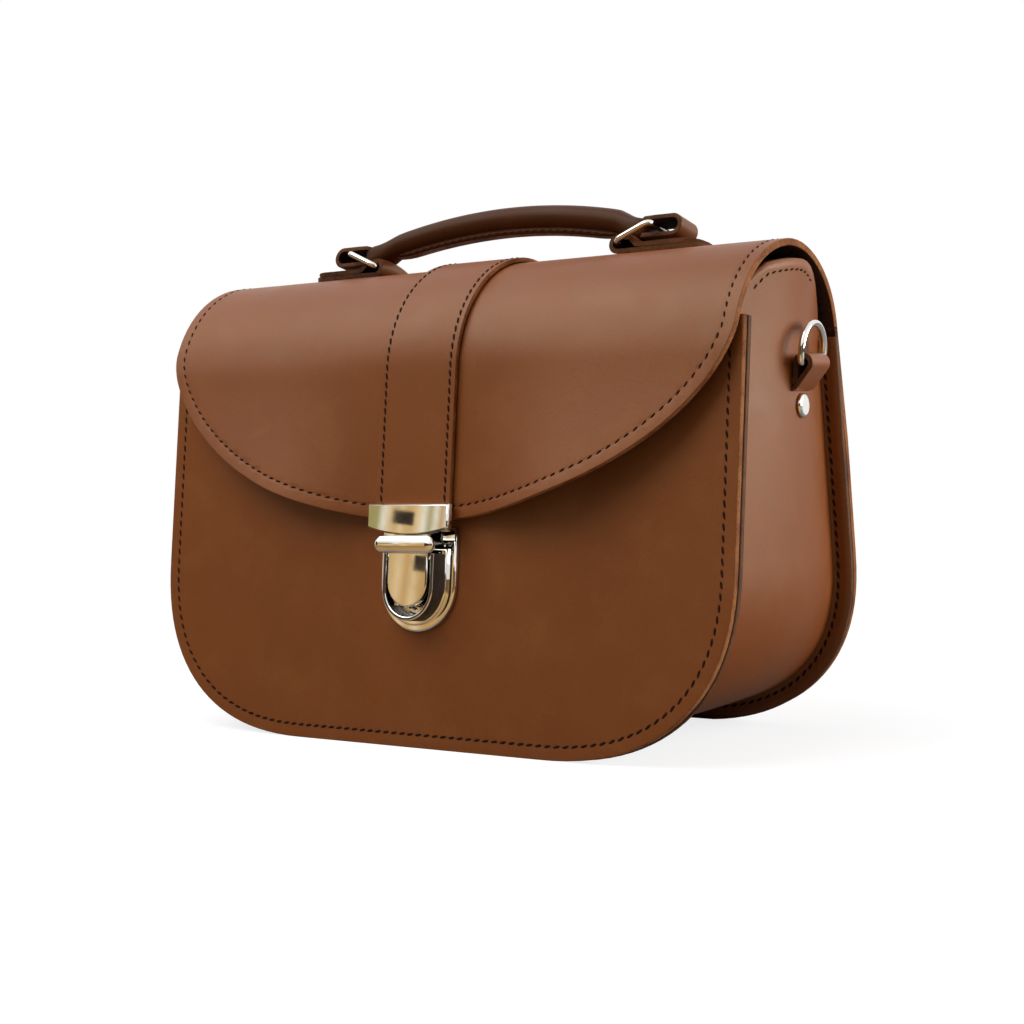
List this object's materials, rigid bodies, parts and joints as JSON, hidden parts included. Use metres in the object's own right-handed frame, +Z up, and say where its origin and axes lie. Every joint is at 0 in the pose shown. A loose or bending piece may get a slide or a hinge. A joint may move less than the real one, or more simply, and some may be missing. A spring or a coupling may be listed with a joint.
{
  "type": "leather crossbody bag",
  "caption": "Structured leather crossbody bag with a smile-shaped flap, tuck lock, rolled top handle on wire rings and a D-ring at each end.",
  "frame": {"origin": "centre of the bag's footprint, on the ground plane that its panels' lower edges stand on", "axes": "+X to the right seen from the front, along the bag's width; -Y is the front with the lock; +Z up"},
  "size_m": [0.2382, 0.0928, 0.1719],
  "materials": {
    "saddle_leather": "smooth, lightly waxed",
    "gusset_leather": "smooth, lightly waxed",
    "rope_core": "plain",
    "chrome": "polished",
    "spring_steel": "plain"
  },
  "bodies": {
    "body": {"back_panel": "saddle_leather", "front_panel": "saddle_leather", "gusset": "gusset_leather", "side_chape_left": "saddle_leather", "side_chape_right": "saddle_leather", "side_rivet_left": "chrome", "side_rivet_right": "chrome", "lock_case": "chrome", "lock_back_plate": "spring_steel", "lock_screw_left": "spring_steel", "lock_screw_right": "spring_steel", "lock_spring": "spring_steel"},
    "slide": {"lock_slide": "chrome"},
    "flap": {"flap": "saddle_leather", "flap_strap": "saddle_leather", "flap_plate": "chrome", "flap_plate_backing": "spring_steel", "flap_plate_rivet_left": "spring_steel", "flap_plate_rivet_right": "spring_steel", "handle_chape_left": "saddle_leather", "handle_chape_right": "saddle_leather"},
    "handle": {"handle_cover": "saddle_leather", "handle_core": "rope_core"},
    "ring_left": {"handle_ring_left": "chrome"},
    "ring_right": {"handle_ring_right": "chrome"},
    "d_ring_left": {"side_ring_left": "chrome"},
    "d_ring_right": {"side_ring_right": "chrome"}
  },
  "joints": [
    {"name": "flap_hinge", "type": "hinge", "parent": "body", "child": "flap", "pos_m": [0, 0.03424, 0.12678], "axis": [-1, 0, 0], "range_deg": [0, 170]},
    {"name": "lock_slide", "type": "slide", "parent": "body", "child": "slide", "axis": [0, -0.1305, -0.9914], "range_m": [0, 0.0022], "stiffness_N_per_m": 300, "springref_m": -0.004, "deforming": ["lock_spring"]},
    {"name": "handle_lift", "type": "slide", "parent": "flap", "child": "handle", "axis": [0, 0.2588, 0.9659], "range_m": [0, 0.004]},
    {"name": "handle_ring_left", "type": "hinge", "parent": "flap", "child": "ring_left", "pos_m": [-0.05, 0.01366, 0.15492], "axis": [0, 0.9659, -0.2588], "range_deg": [0, 22]},
    {"name": "handle_ring_right", "type": "hinge", "parent": "flap", "child": "ring_right", "pos_m": [0.05, 0.01366, 0.15492], "axis": [0, -0.9659, 0.2588], "range_deg": [0, 22]},
    {"name": "side_ring_left", "type": "hinge", "parent": "body", "child": "d_ring_left", "pos_m": [-0.11535, 0.00928, 0.11574], "axis": [-0.0825, -0.9966, 0], "range_deg": [0, 170]},
    {"name": "side_ring_right", "type": "hinge", "parent": "body", "child": "d_ring_right", "pos_m": [0.11535, 0.00928, 0.11574], "axis": [-0.0825, 0.9966, 0], "range_deg": [0, 170]}
  ],
  "couplings": [
    {"joint": "handle_ring_left", "follows": "handle_lift", "rad_per_m": 94.2},
    {"joint": "handle_ring_right", "follows": "handle_lift", "rad_per_m": 94.2}
  ]
}
